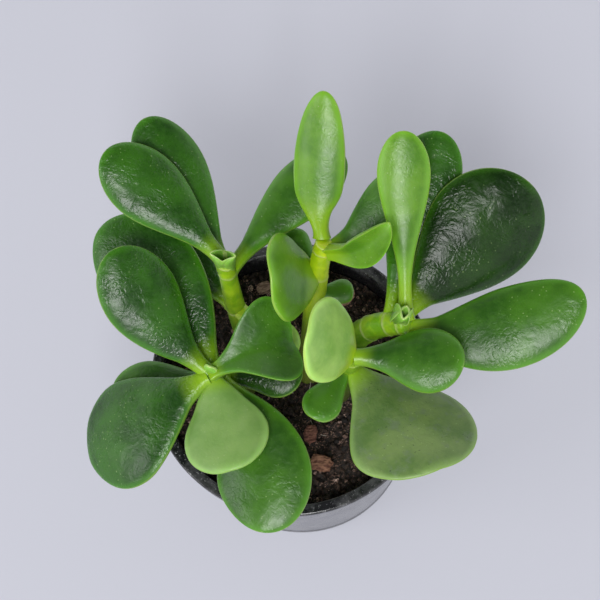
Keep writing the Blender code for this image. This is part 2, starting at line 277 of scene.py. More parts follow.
clear_selection()
bpy.ops.mesh.primitive_circle_add(vertices=POT_SIDES, radius=(FOOT_RADIUS - HOLLOW_INSET) * MM,
                                  fill_type="NGON", location=(0.0, 0.0, HOLLOW_LIFT * MM))
pot = bpy.context.object
pot.name = "pot_shell"
bpy.ops.object.mode_set(mode="EDIT")
bpy.ops.mesh.select_all(action="SELECT")
bpy.ops.mesh.flip_normals()
bpy.ops.mesh.region_to_loop()
reached, level = FOOT_RADIUS - HOLLOW_INSET, HOLLOW_LIFT
for radius, height in pot_section:
    bpy.ops.mesh.extrude_region_move(
        TRANSFORM_OT_translate={"value": (0.0, 0.0, (height - level) * MM)})
    bpy.ops.transform.resize(value=(radius / reached, radius / reached, 1.0))
    reached, level = radius, height
bpy.ops.mesh.edge_face_add()
bpy.ops.mesh.select_all(action="SELECT")
bpy.ops.mesh.normals_make_consistent(inside=False)
bpy.ops.object.mode_set(mode="OBJECT")
for hole in range(DRAIN_HOLES):
    angle = math.radians(DRAIN_START) + math.tau * hole / DRAIN_HOLES
    bpy.ops.object.select_all(action="DESELECT")
    bpy.ops.mesh.primitive_cylinder_add(
        vertices=40, radius=DRAIN_RADIUS * MM, depth=4 * POT_FLOOR * MM,
        location=(DRAIN_CIRCLE * MM * math.cos(angle), DRAIN_CIRCLE * MM * math.sin(angle), 0.0))
    drill = bpy.context.object
    bpy.context.view_layer.objects.active = pot
    cut = pot.modifiers.new("drain_hole", "BOOLEAN")
    cut.operation = "DIFFERENCE"
    cut.solver = "EXACT"
    cut.object = drill
    bpy.ops.object.modifier_apply(modifier=cut.name)
    bpy.data.objects.remove(drill)


def settle(piece, finish, slot, *nodes_replaced, smooth):
    """Places, shades and finishes a piece, and hides the solids that it stands for."""
    clear_selection()
    piece.select_set(True)
    bpy.context.view_layer.objects.active = piece
    bpy.ops.object.transform_apply(location=True, rotation=True, scale=True)
    bpy.ops.object.shade_smooth_by_angle(angle=math.radians(smooth))
    piece.data.materials.clear()
    piece.data.materials.append(finish)
    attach(piece, "root")
    if nodes_replaced:
        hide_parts(*nodes_replaced)


POT_BLACK = (0.010, 0.010, 0.012)
POT_GREY = (0.019, 0.019, 0.022)
POT_DUST = (0.10, 0.10, 0.105)
POT_SCUFF = (0.32, 0.32, 0.33)
finish, nodes, links, shader = new_finish("black_pot_plastic")
place = nodes.new("ShaderNodeTexCoord").outputs["Object"]
height = nodes.new("ShaderNodeSeparateXYZ")
links.new(place, height.inputs["Vector"])
lip_band = stepped(nodes, links, height.outputs["Z"], *DUSTY_LIP)
dust_cloud = noise_at(nodes, links, 90.0, detail=8.0, roughness=0.72)
dust = stepped(nodes, links, dust_cloud, 0.42, 0.68)
scuffs = noise_at(nodes, links, 1400.0, detail=5.0, distortion=0.8)
worn = product(nodes, links, stepped(nodes, links, scuffs, 0.60, 0.72), lip_band)
plain = two_colours(nodes, links, dust, POT_BLACK, POT_GREY)
dusty = two_colours(nodes, links, product(nodes, links, dust, lip_band), plain, POT_DUST)
links.new(two_colours(nodes, links, worn, dusty, POT_SCUFF), shader.inputs["Base Color"])
links.new(stepped(nodes, links, dust_cloud, 0.3, 0.7, 0.17, 0.27), shader.inputs["Roughness"])
shader.inputs["IOR"].default_value = 1.5
shader.inputs["Coat Weight"].default_value = 0.35
shader.inputs["Coat Roughness"].default_value = 0.12
add_relief(nodes, links, shader, noise_at(nodes, links, 700.0, detail=4.0), 0.00004)
settle(pot, finish, "pot_plastic", "nursery_pot", smooth=35.0)


# ---------------------------------------------------------------------------------------
# POTTING SOIL. Dark crumbly peat and coir that fills the pot to 8 mm under the rim. The
# bed is one lump; loose crumbs, bits of fibre and fine white root hairs lie on it.

SOIL_LEVEL = 62.0
SOIL_SWELL = 1.2
SOIL_SEED = Vector((3.7, 1.3, 0.0))
SOIL_GRID = 150
SOIL_DEPTH = 55.0
SOIL_GAP = 0.35                # air between the soil and the pot's wall
SOIL_EDGE = outer_wall(SOIL_LEVEL) - POT_WALL - SOIL_GAP
SOIL_FOOT = outer_wall(SOIL_LEVEL - SOIL_DEPTH) - POT_WALL - SOIL_GAP
PEAT_BLACK = (0.004, 0.003, 0.002)
PEAT_BROWN = (0.075, 0.042, 0.027)
PEAT_FLECK = (0.42, 0.25, 0.19)


def soil_height(x, y):
    """Height of the soil's slow swells."""
    return SOIL_LEVEL + SOIL_SWELL * noise.noise(Vector((x, y, 0.0)) * 0.12 + SOIL_SEED)


def crumbly(x, y):
    """Height of the soil with its crumbs, pits and grains."""
    spot = Vector((x, y, 0.0))
    lumps = noise.noise(spot * 0.35 + SOIL_SEED)
    crumbs = noise.turbulence(spot * 0.55, 4, False)
    grains = noise.noise(spot * 2.2)
    return soil_height(x, y) - 0.5 + 0.8 * lumps + 1.5 * (crumbs - 0.6) + 0.35 * grains


clear_selection()
bpy.ops.mesh.primitive_grid_add(x_subdivisions=SOIL_GRID, y_subdivisions=SOIL_GRID, size=2.0)
soil = bpy.context.object
soil.name = "soil_bed"
for vert in soil.data.vertices:      # the square sheet is drawn in to a round one
    across, deep = vert.co.x, vert.co.y
    x = across * math.sqrt(1 - deep * deep / 2) * SOIL_EDGE
    y = deep * math.sqrt(1 - across * across / 2) * SOIL_EDGE
    vert.co = Vector((x, y, crumbly(x, y))) * MM
bpy.ops.object.mode_set(mode="EDIT")
bpy.ops.mesh.select_all(action="SELECT")
bpy.ops.mesh.region_to_loop()
bpy.ops.mesh.extrude_region_move(TRANSFORM_OT_translate={"value": (0.0, 0.0, -SOIL_DEPTH * MM)})
bpy.ops.transform.resize(value=(SOIL_FOOT / SOIL_EDGE, SOIL_FOOT / SOIL_EDGE, 0.0))
bpy.ops.mesh.edge_face_add()
bpy.ops.mesh.select_all(action="SELECT")
bpy.ops.mesh.normals_make_consistent(inside=False)
bpy.ops.object.mode_set(mode="OBJECT")

finish, nodes, links, shader = new_finish("damp_peat")
fine = noise_at(nodes, links, 900.0, detail=6.0, roughness=0.7)
broad = noise_at(nodes, links, 180.0, detail=4.0)
peat = two_colours(nodes, links, stepped(nodes, links, fine, 0.40, 0.72), PEAT_BLACK, PEAT_BROWN)
flecks = stepped(nodes, links, noise_at(nodes, links, 1700.0, distortion=0.6), 0.57, 0.64)
flecks = product(nodes, links, flecks, stepped(nodes, links, broad, 0.40, 0.60))
links.new(two_colours(nodes, links, flecks, peat, PEAT_FLECK), shader.inputs["Base Color"])
shader.inputs["Roughness"].default_value = 0.60
under = add_relief(nodes, links, shader, fine, 0.0006)
add_relief(nodes, links, shader, noise_at(nodes, links, 3200.0, detail=4.0), 0.0002, under)
settle(soil, finish, "potting_soil", "potting_soil", smooth=80.0)

CRUMB_SHAPES = 6
CRUMB_MARGIN = 1.3             # loose crumbs keep this far from the edge of the soil
CRUMB_STANDS = 0.35            # share of its radius by which a crumb stands on the soil
shaker = random.Random(41)


def crumb():
    """One squashed, knobbly crumb of soil, of 1 mm radius."""
    clear_selection()
    bpy.ops.mesh.primitive_ico_sphere_add(subdivisions=1, radius=MM, location=(0.0, 0.0, 0.0))
    lump = bpy.context.object
    for vert in lump.data.vertices:
        vert.co *= shaker.uniform(0.65, 1.25)
    stretch, squash = shaker.uniform(0.8, 1.4), shaker.uniform(0.5, 0.9)
    lump.data.transform(Matrix.Diagonal((stretch, 1.0, squash, 1.0)))
    return lump


def crumb_finish(name, dark, light):
    """Crumbs are lighter and darker from one to the next, and grainy all over."""
    finish, nodes, links, shader = new_finish(name)
    tone = nodes.new("ShaderNodeAttribute")
    tone.attribute_name = "crumb_tone"
    grain = noise_at(nodes, links, 2400.0, detail=4.0)
    own = two_colours(nodes, links, tone.outputs["Fac"], dark, light)
    shade = stepped(nodes, links, grain, 0.35, 0.65)
    pits = tuple(part * 0.5 for part in dark)
    links.new(two_colours(nodes, links, shade, pits, own), shader.inputs["Base Color"])
    shader.inputs["Roughness"].default_value = 0.75
    add_relief(nodes, links, shader, grain, 0.0003)
    return finish


def scatter(name, count, smallest, largest, finish):
    """Loose crumbs over the soil, all in one piece, each with a tone of its own."""
    masters = [crumb() for _ in range(CRUMB_SHAPES)]
    verts, faces, tones = [], [], []
    for _ in range(count):
        master = masters[shaker.randrange(len(masters))].data
        radius = (SOIL_EDGE - CRUMB_MARGIN) * math.sqrt(shaker.random())
        angle = shaker.uniform(0.0, math.tau)
        x, y = radius * math.cos(angle), radius * math.sin(angle)
        size = smallest + (largest - smallest) * shaker.random() ** 3
        spin = Matrix.Rotation(shaker.uniform(0.0, math.tau), 3, "Z")
        spin = spin @ Matrix.Rotation(shaker.uniform(0.0, 1.2), 3, "X")
        tone = shaker.random()
        first = len(verts)
        middle = Vector((x, y, crumbly(x, y) + CRUMB_STANDS * size))
        verts += [middle * MM + spin @ vert.co * size for vert in master.vertices]
        faces += [[first + corner for corner in face.vertices] for face in master.polygons]
        tones += [tone] * len(master.vertices)
    for master in masters:
        bpy.data.objects.remove(master)
    mesh = bpy.data.meshes.new(name)
    mesh.from_pydata(verts, [], faces)
    mesh.attributes.new("crumb_tone", "FLOAT", "POINT").data.foreach_set("value", tones)
    heap = bpy.data.objects.new(name, mesh)
    bpy.context.scene.collection.objects.link(heap)
    settle(heap, finish, "potting_soil", smooth=60.0)


peat_finish = crumb_finish("peat_crumb", (0.008, 0.005, 0.004), (0.11, 0.060, 0.038))
scatter("peat_crumbs", 1500, 0.25, 1.25, peat_finish)
coir_finish = crumb_finish("coir_crumb", (0.14, 0.065, 0.045), (0.85, 0.60, 0.50))
scatter("coir_crumbs", 800, 0.22, 1.0, coir_finish)

finish, nodes, links, shader = new_finish("white_root")
tint = noise_at(nodes, links, 600.0)
links.new(two_colours(nodes, links, tint, (0.42, 0.34, 0.26), (0.75, 0.70, 0.62)), shader.inputs["Base Color"])
shader.inputs["Roughness"].default_value = 0.6
add_relief(nodes, links, shader, noise_at(nodes, links, 5000.0), 0.00003)
ROOT_HAIRS = 16
ROOT_SPREAD = 34.0             # radius of the patch that the hairs start in
ROOT_STEP = 2.0                # length between two bends of a hair
ROOT_MARGIN = 1.5
hairs = []
for number in range(ROOT_HAIRS):
    radius = ROOT_SPREAD * math.sqrt(shaker.random())
    angle = shaker.uniform(0.0, math.tau)
    x, y = radius * math.cos(angle), radius * math.sin(angle)
    way = shaker.uniform(0.0, math.tau)
    clear_selection()
    bpy.ops.curve.primitive_nurbs_path_add(radius=MM, location=(0.0, 0.0, 0.0))
    hair = bpy.context.object
    hair.data.bevel_depth = shaker.uniform(0.06, 0.12) * MM
    hair.data.bevel_resolution = 1
    hair.data.resolution_u = 5
    hair.data.use_fill_caps = True
    for point in hair.data.splines[0].points:
        point.co = (x * MM, y * MM, (crumbly(x, y) + shaker.uniform(0.0, 0.9)) * MM, 1.0)
        way += shaker.uniform(-0.7, 0.7)
        x += ROOT_STEP * math.cos(way)
        y += ROOT_STEP * math.sin(way)
        if math.hypot(x, y) > SOIL_EDGE - ROOT_MARGIN:      # it turns back from the wall
            way += math.pi
            x += 2 * ROOT_STEP * math.cos(way)
            y += 2 * ROOT_STEP * math.sin(way)
    bpy.ops.object.convert(target="MESH")
    hairs.append(bpy.context.object)
clear_selection()
for hair in hairs:
    hair.select_set(True)
bpy.context.view_layer.objects.active = hairs[0]
bpy.ops.object.join()
hairs[0].name = "root_hairs"
settle(hairs[0], finish, "potting_soil", smooth=70.0)


# ---------------------------------------------------------------------------------------
# BARK CHIPS. Four bits of composted pine bark lie on the soil, split along the grain, with
# rough sides and worn corners.

CHIP_CUTS = 13
CHIP_WEAR = 0.8                # how far a chip is worn from a block towards an egg
CHIP_SINK = 0.6
CHIP_LUMPS = 0.22
CHIP_RIDGES = 0.16

# Each chip: its place, its length, width and height, its turn, and its dark and light brown.
BARK_CHIPS = [
    ((20, 26), (8, 6, 4), 25, (0.30, 0.155, 0.10), (0.55, 0.36, 0.25)),
    ((3, -18), (6, 4, 3), 70, (0.10, 0.032, 0.022), (0.30, 0.13, 0.09)),
    ((5, -28), (7, 5, 4), -20, (0.12, 0.045, 0.028), (0.34, 0.17, 0.10)),
    ((-5, 33), (5, 4, 3), 10, (0.14, 0.085, 0.055), (0.34, 0.23, 0.16)),
]
for number, chip_facts in enumerate(BARK_CHIPS, start=1):
    (x, y), (length, width, height), turned_by, dark, light = chip_facts
    clear_selection()
    bpy.ops.mesh.primitive_cube_add(size=1.0)
    chip = bpy.context.object
    chip.name = f"bark_piece_{number}"
    bpy.ops.object.mode_set(mode="EDIT")
    bpy.ops.mesh.select_all(action="SELECT")
    bpy.ops.mesh.subdivide(number_cuts=CHIP_CUTS)
    bpy.ops.object.mode_set(mode="OBJECT")
    rotation = Matrix.Rotation(math.radians(turned_by), 3, "Z")
    middle = Vector((x, y, soil_height(x, y) + height / 2 - CHIP_SINK))
    for vert in chip.data.vertices:
        spot = vert.co.copy()
        ball = spot.normalized() * 0.5
        spot = spot.lerp(ball, CHIP_WEAR)
        ridge = noise.noise(Vector((spot.x * 2.0, spot.y * 9.0, spot.z * 9.0 + 7.0 * number)))
        rough = noise.noise(spot * 4.0 + Vector((number * 3.1, 0.0, 0.0)))
        swell = 1.0 + CHIP_LUMPS * rough + CHIP_RIDGES * ridge
        spot = Vector((spot.x * length, spot.y * width, spot.z * height)) * swell
        vert.co = (middle + rotation @ spot) * MM
    finish, nodes, links, shader = new_finish(f"pine_bark_{number}")
    grain = nodes.new("ShaderNodeMapping")
    grain.inputs["Rotation"].default_value = (0.0, 0.0, -math.radians(turned_by))
    grain.inputs["Scale"].default_value = (0.3, 1.0, 1.0)
    links.new(nodes.new("ShaderNodeTexCoord").outputs["Object"], grain.inputs["Vector"])
    streaks = noise_at(nodes, links, 1500.0, detail=5.0, place=grain.outputs["Vector"])
    brown = two_colours(nodes, links, stepped(nodes, links, streaks, 0.36, 0.66), dark, light)
    links.new(brown, shader.inputs["Base Color"])
    shader.inputs["Roughness"].default_value = 0.8
    add_relief(nodes, links, shader, streaks, 0.0009)
    settle(chip, finish, "bark", f"bark_chip_{number}", smooth=60.0)


# ---------------------------------------------------------------------------------------
# STEMS. Five rooted cuttings with soft green stems that thin towards the top. A ring stands
# proud at each pair of leaves, and the skin is ribbed and finely wrinkled between them.

ROOTING_DEPTH = 9.0
STEM_TAPER = 0.78
STEM_SIDES = 40
STEM_RINGS = 110
RING_SWELL, RING_WIDTH = 0.06, 0.008           # shares of the radius and of the height
GROOVE_DEPTH, GROOVE_WIDTH, GROOVE_BELOW = 0.03, 0.006, 0.014
SKIN_WAVE = 0.03
# The next green is painted shade, laid over the lower part of each stem.
LOWER_STEM_SHADE_GREEN = (0.035, 0.12, 0.008)
BASE_BROWN = (0.12, 0.11, 0.03)
RING_CREAM = (0.62, 0.66, 0.30)
SPECK_CREAM = (0.60, 0.66, 0.36)

# Each shoot: root, knee and top of its path, and its radius.
SHOOTS = {
    "back_left": ((-11, 10, 0), (-14, 20, 83), (-14, 26, 112), 3.5),
    "front_left": ((-15, 1, 0), (-20, -2, 82), (-24, -5, 99), 3.8),
    "back_middle": ((5, -1, 0), (11, 18, 92), (16, 27, 111), 3.7),
    "back_right": ((17, 7, 0), (24, 5, 88), (37, 0, 105), 4.4),
    "front_right": ((13, -5, 0), (17, -7, 92), (18.5, -8, 106), 3.7),
}
# The green of each stem's skin, in shade and in light.
STEM_GREENS = {
    "back_left": ((0.20, 0.42, 0.004), (0.38, 0.60, 0.01)),
    "front_left": ((0.08, 0.22, 0.006), (0.24, 0.44, 0.014)),
    "back_middle": ((0.42, 0.62, 0.006), (0.62, 0.78, 0.012)),
    "back_right": ((0.16, 0.38, 0.005), (0.34, 0.56, 0.012)),
    "front_right": ((0.10, 0.26, 0.006), (0.28, 0.48, 0.014)),
}
# Shares of the way up each stem where a pair of leaves left a ring.
STEM_NODES = {
    "back_left": (0.52, 0.865, 0.96),
    "front_left": (0.58, 0.78, 0.92),
    "back_middle": (0.64, 0.87, 0.97),
    "back_right": (0.60, 0.82, 0.93),
    "front_right": (0.55, 0.92),
}


def stem_axis(shoot, share):
    """Point on a stem's middle line, and its direction, at a share of the way up."""
    root, knee, top = (Vector(point) for point in SHOOTS[shoot][:3])
    root.z = SOIL_LEVEL - ROOTING_DEPTH
    point = ((1 - share) * (1 - 2 * share) * root + 4 * share * (1 - share) * knee
             + share * (2 * share - 1) * top)
    slope = (4 * share - 3) * root + (4 - 8 * share) * knee + (4 * share - 1) * top
    return point, slope.normalized()


def stem_radius(shoot, share):
    """Radius of a stem at a share of the way up."""
    return SHOOTS[shoot][3] * (1 - (1 - STEM_TAPER) * share)


def write_values(piece, **values):
    """Values kept on the points of a mesh for its finish to read."""
    for name, numbers in values.items():
        piece.data.attributes.new(name, "FLOAT", "POINT").data.foreach_set("value", numbers)


for shoot, (shade, light) in STEM_GREENS.items():
    clear_selection()
    bpy.ops.mesh.primitive_uv_sphere_add(segments=STEM_SIDES, ring_count=STEM_RINGS, radius=1.0)
    stem = bpy.context.object
    stem.name = f"stem_of_{shoot}"
    heights = []
    near_node = []
    for vert in stem.data.vertices:
        level = math.acos(max(-1.0, min(1.0, vert.co.z)))
        share = 1.0 - level / math.pi
        round_about = math.atan2(vert.co.y, vert.co.x)
        middle, upward = stem_axis(shoot, share)
        side = upward.cross(Vector((0.0, 1.0, 0.0))).normalized()
        front = upward.cross(side)
        radius = stem_radius(shoot, share)
        ring = max(math.exp(-((share - node) / RING_WIDTH) ** 2) for node in STEM_NODES[shoot])
        groove = max(math.exp(-((share - node + GROOVE_BELOW) / GROOVE_WIDTH) ** 2)
                     for node in STEM_NODES[shoot])
        ribs = math.cos(2 * round_about + 4 * share) * 0.03 + math.cos(7 * round_about) * 0.008
        facing = Vector((math.cos(round_about), math.sin(round_about), 0.0))
        skin = noise.noise(middle * 0.25 + facing * 1.6)
        radius *= 1 + RING_SWELL * ring - GROOVE_DEPTH * groove + ribs + SKIN_WAVE * skin
        end = min(1.0, (1.0 - share) * 26.0)
        foot = min(1.0, share * 40.0)
        radius *= math.sqrt(1 - (1 - end) ** 2) * math.sqrt(1 - (1 - foot) ** 2)
        place = middle + (side * math.cos(round_about) + front * math.sin(round_about)) * radius
        vert.co = place * MM
        heights.append(share)
        near_node.append(ring)
    bpy.ops.object.mode_set(mode="EDIT")
    bpy.ops.mesh.select_all(action="SELECT")
    bpy.ops.mesh.normals_make_consistent(inside=False)
    bpy.ops.object.mode_set(mode="OBJECT")
    write_values(stem, up_stem=heights, near_node=near_node)

    finish, nodes, links, shader = new_finish(f"stem_skin_{shoot}")
    up = nodes.new("ShaderNodeAttribute")
    up.attribute_name = "up_stem"
    rings = nodes.new("ShaderNodeAttribute")
    rings.attribute_name = "near_node"
    patch = noise_at(nodes, links, 220.0, detail=4.0, distortion=0.4)
    body = two_colours(nodes, links, stepped(nodes, links, patch, 0.34, 0.66), shade, light)
    lower = stepped(nodes, links, up.outputs["Fac"], 0.16, 0.40, 1.0, 0.0)
    # Painted shade: each stem darkens towards a shade green lower down, most strongly below a third of its
    # height.
    deep = stepped(nodes, links, up.outputs["Fac"], 0.30, 0.80, 0.75, 0.0)
    body = two_colours(nodes, links, deep, body, LOWER_STEM_SHADE_GREEN)
    body = two_colours(nodes, links, product(nodes, links, lower, 0.55), body, BASE_BROWN)
    pale = product(nodes, links, rings.outputs["Fac"], 0.55)
    body = two_colours(nodes, links, pale, body, RING_CREAM)
    specks = stepped(nodes, links, noise_at(nodes, links, 2600.0, detail=2.0), 0.66, 0.74)
    body = two_colours(nodes, links, product(nodes, links, specks, 0.35), body, SPECK_CREAM)
    links.new(body, shader.inputs["Base Color"])
    links.new(stepped(nodes, links, patch, 0.3, 0.7, 0.34, 0.50), shader.inputs["Roughness"])
    shader.inputs["Subsurface Weight"].default_value = 0.25
    shader.inputs["Subsurface Radius"].default_value = (0.6, 1.0, 0.2)
    shader.inputs["Subsurface Scale"].default_value = 0.0015
    shader.inputs["Coat Weight"].default_value = 0.15
    shader.inputs["Coat Roughness"].default_value = 0.25
    wrinkles = noise_at(nodes, links, 1100.0, detail=5.0, distortion=0.6)
    under = add_relief(nodes, links, shader, wrinkles, 0.00012)
    add_relief(nodes, links, shader, noise_at(nodes, links, 5200.0), 0.00003, under)
    settle(stem, finish, "stem_skin", f"{shoot}_stem", smooth=70.0)


# ---------------------------------------------------------------------------------------
# LEAVES. Thick, waxy paddles that sit on the nodes in crossed pairs. A neck clasps the
# stem, the blade opens to a round end, and a thin paler line runs round its rim. Old
# blades are deep green and crinkled; young ones are light, smooth and more upright.

LEAF_SIDES = 56
LEAF_RINGS = 64
MIDRIB_STEPS = 96
TRIM = 0.979                   # the visible leaf stays just inside the solid one
PLUMPNESS = 1.15
LEAF_NECK = 2.1                # half the width of a neck, and at most this share of the blade
NECK_SHARE = 0.2
PADDLE_FULLNESS = 0.62
LEAF_DOME = 10.0               # degrees that a blade falls away on both sides of its midrib
CUPPED_FROM = 20.0             # with more fold than this a blade is cupped, not domed
CUPPED_BOW, DOMED_BOW = 1.35, 2.0
DOMED_FOLD = 0.3               # a domed blade keeps this share of its fold
EDGE_FULLNESS = 0.75
CLEARANCE = 0.3
CLASP_DEPTH = 2.5              # how far a neck reaches into the skin of the stem
CLASP_LENGTH = 7.0
CLASP_REACH = 2.2
CLASP_WIDENING = 0.7
CLASP_THICKENING = 0.25
EDGE_WAVE = 0.5
BLADE_DENTS = 0.35
BASE_LIME = (0.26, 0.47, 0.008)
RIM_LIME = (0.22, 0.38, 0.05)
PORE_LIME = (0.36, 0.50, 0.20)
STAIN_GREY = (0.16, 0.22, 0.13)
SPOT_DARK = (0.02, 0.035, 0.012)
RIM_GLOW_GAIN = 1.5                # painted glow: the blade is lighter towards its rim, where it thins out and light shines through
RIM_GLOW_LIFT = (0.022, 0.07, 0.004)


def add_crinkles(nodes, links, shader, fine, crinkle):
    """Folds, a leathery net of creases in patches, and fine grain over the skin of a leaf."""
    folds = noise_at(nodes, links, 260.0, distortion=0.5)
    under = add_relief(nodes, links, shader, folds, 0.00045 * crinkle)
    place = nodes.new("ShaderNodeTexCoord").outputs["Object"]
    warp = nodes.new("ShaderNodeTexNoise")
    warp.inputs["Scale"].default_value = 300.0
    links.new(place, warp.inputs["Vector"])
    bent = nodes.new("ShaderNodeVectorMath")
    bent.operation = "MULTIPLY_ADD"
    bent.inputs[1].default_value = (0.003, 0.003, 0.003)
    links.new(warp.outputs["Color"], bent.inputs[0])
    links.new(place, bent.inputs[2])
    leather = nodes.new("ShaderNodeTexVoronoi")
    leather.feature = "DISTANCE_TO_EDGE"
    leather.inputs["Scale"].default_value = 640.0
    links.new(bent.outputs["Vector"], leather.inputs["Vector"])
    creases = stepped(nodes, links, leather.outputs["Distance"], 0.0, 0.30)
    patches = stepped(nodes, links, noise_at(nodes, links, 85.0, detail=1.0), 0.40, 0.62)
    creases = product(nodes, links, creases, patches)
    under = add_relief(nodes, links, shader, creases, 0.000075 * crinkle, under)
    under = add_relief(nodes, links, shader, fine, 0.00004, under)
    add_relief(nodes, links, shader, noise_at(nodes, links, 3600.0), 0.00001, under)


def leaf_tones(name, deep, mid, crinkle, roughness, base=BASE_LIME, rim=RIM_LIME, glow=0.10,
               neck_end=0.17, shine=0.5, gloss=0.0, mottle=0.0):
    """Skin of a leaf: deep and mid green in the blade, base at the neck, rim at the edge."""
    finish, nodes, links, shader = new_finish(name)
    along = nodes.new("ShaderNodeAttribute")
    along.attribute_name = "up_leaf"
    rim_gap = nodes.new("ShaderNodeAttribute")
    rim_gap.attribute_name = "rim_gap"
    cloud = noise_at(nodes, links, 75.0, detail=4.0, roughness=0.55)
    fine = noise_at(nodes, links, 620.0, detail=4.0, roughness=0.6)
    blade = two_colours(nodes, links, stepped(nodes, links, cloud, 0.32, 0.68), deep, mid)
    freckle = product(nodes, links, stepped(nodes, links, fine, 0.45, 0.72), 0.30)
    blade = two_colours(nodes, links, freckle, blade, mid)
    if mottle:
        stain = noise_at(nodes, links, 240.0, detail=6.0, roughness=0.7)
        stain = product(nodes, links, stepped(nodes, links, stain, 0.52, 0.66), mottle)
        blade = two_colours(nodes, links, stain, blade, STAIN_GREY)
        spots = stepped(nodes, links, noise_at(nodes, links, 1300.0, detail=1.0), 0.72, 0.76)
        blade = two_colours(nodes, links, product(nodes, links, spots, mottle), blade, SPOT_DARK)
    # Painted glow: the blade is lightened within 2.6 mm of its rim, as light shining through it.
    painted_rim_glow = stepped(nodes, links, rim_gap.outputs["Fac"], 0.0, 2.6, 0.55, 0.0)
    rim_glow_colour = tuple(RIM_GLOW_GAIN * part + lift for part, lift in zip(mid, RIM_GLOW_LIFT))
    blade = two_colours(nodes, links, painted_rim_glow, blade, rim_glow_colour)
    neck = stepped(nodes, links, along.outputs["Fac"], 0.02, neck_end, 1.0, 0.0)
    blade = two_colours(nodes, links, neck, blade, base)
    edge = stepped(nodes, links, rim_gap.outputs["Fac"], 0.08, 0.34, 0.6, 0.0)
    blade = two_colours(nodes, links, edge, blade, rim)
    dots = nodes.new("ShaderNodeTexVoronoi")
    dots.inputs["Scale"].default_value = 620.0
    links.new(nodes.new("ShaderNodeTexCoord").outputs["Object"], dots.inputs["Vector"])
    pores = stepped(nodes, links, dots.outputs["Distance"], 0.07, 0.16, 0.55, 0.0)
    pores = product(nodes, links, pores, stepped(nodes, links, cloud, 0.40, 0.60))
    links.new(two_colours(nodes, links, pores, blade, PORE_LIME), shader.inputs["Base Color"])
    wax = stepped(nodes, links, fine, 0.3, 0.7, roughness - 0.04, roughness + 0.05)
    links.new(wax, shader.inputs["Roughness"])
    shader.inputs["Specular IOR Level"].default_value = shine
    shader.inputs["Coat Weight"].default_value = gloss
    shader.inputs["Coat Roughness"].default_value = 0.22
    shader.inputs["Subsurface Weight"].default_value = glow
    shader.inputs["Subsurface Radius"].default_value = (0.5, 1.0, 0.15)
    shader.inputs["Subsurface Scale"].default_value = 0.0018
    add_crinkles(nodes, links, shader, fine, crinkle)
    return finish


SKINS = {
    "old": leaf_tones("old_leaf_skin", (0.010, 0.058, 0.002), (0.032, 0.135, 0.005), 0.8, 0.30),
    "dark": leaf_tones("dark_leaf_skin", (0.004, 0.022, 0.001), (0.014, 0.055, 0.003), 0.8, 0.28,
                       shine=0.34),
    "full": leaf_tones("full_leaf_skin", (0.022, 0.095, 0.004), (0.060, 0.190, 0.010), 0.5, 0.32),
    "young": leaf_tones("young_leaf_skin", (0.075, 0.220, 0.008), (0.15, 0.34, 0.02), 0.3, 0.34,
                        base=(0.30, 0.52, 0.01), rim=(0.34, 0.50, 0.08), glow=0.2, neck_end=0.3),
    # The fresh skin is a young leaf's own light green, lightened further as painted sheen.
    "fresh_and_sheen": leaf_tones("fresh_leaf_skin_and_sheen", (0.23, 0.44, 0.08), (0.40, 0.62, 0.15), 0.2, 0.32,
                        base=(0.42, 0.62, 0.01), rim=(0.44, 0.60, 0.10), glow=0.25, neck_end=0.3),
    "stained": leaf_tones("stained_leaf_skin", (0.10, 0.19, 0.045), (0.20, 0.30, 0.09), 0.5, 0.40,
                          mottle=0.6),
    "flat": leaf_tones("matt_leaf_skin", (0.14, 0.29, 0.05), (0.24, 0.40, 0.11), 0.2, 0.42, glow=0.2),
}

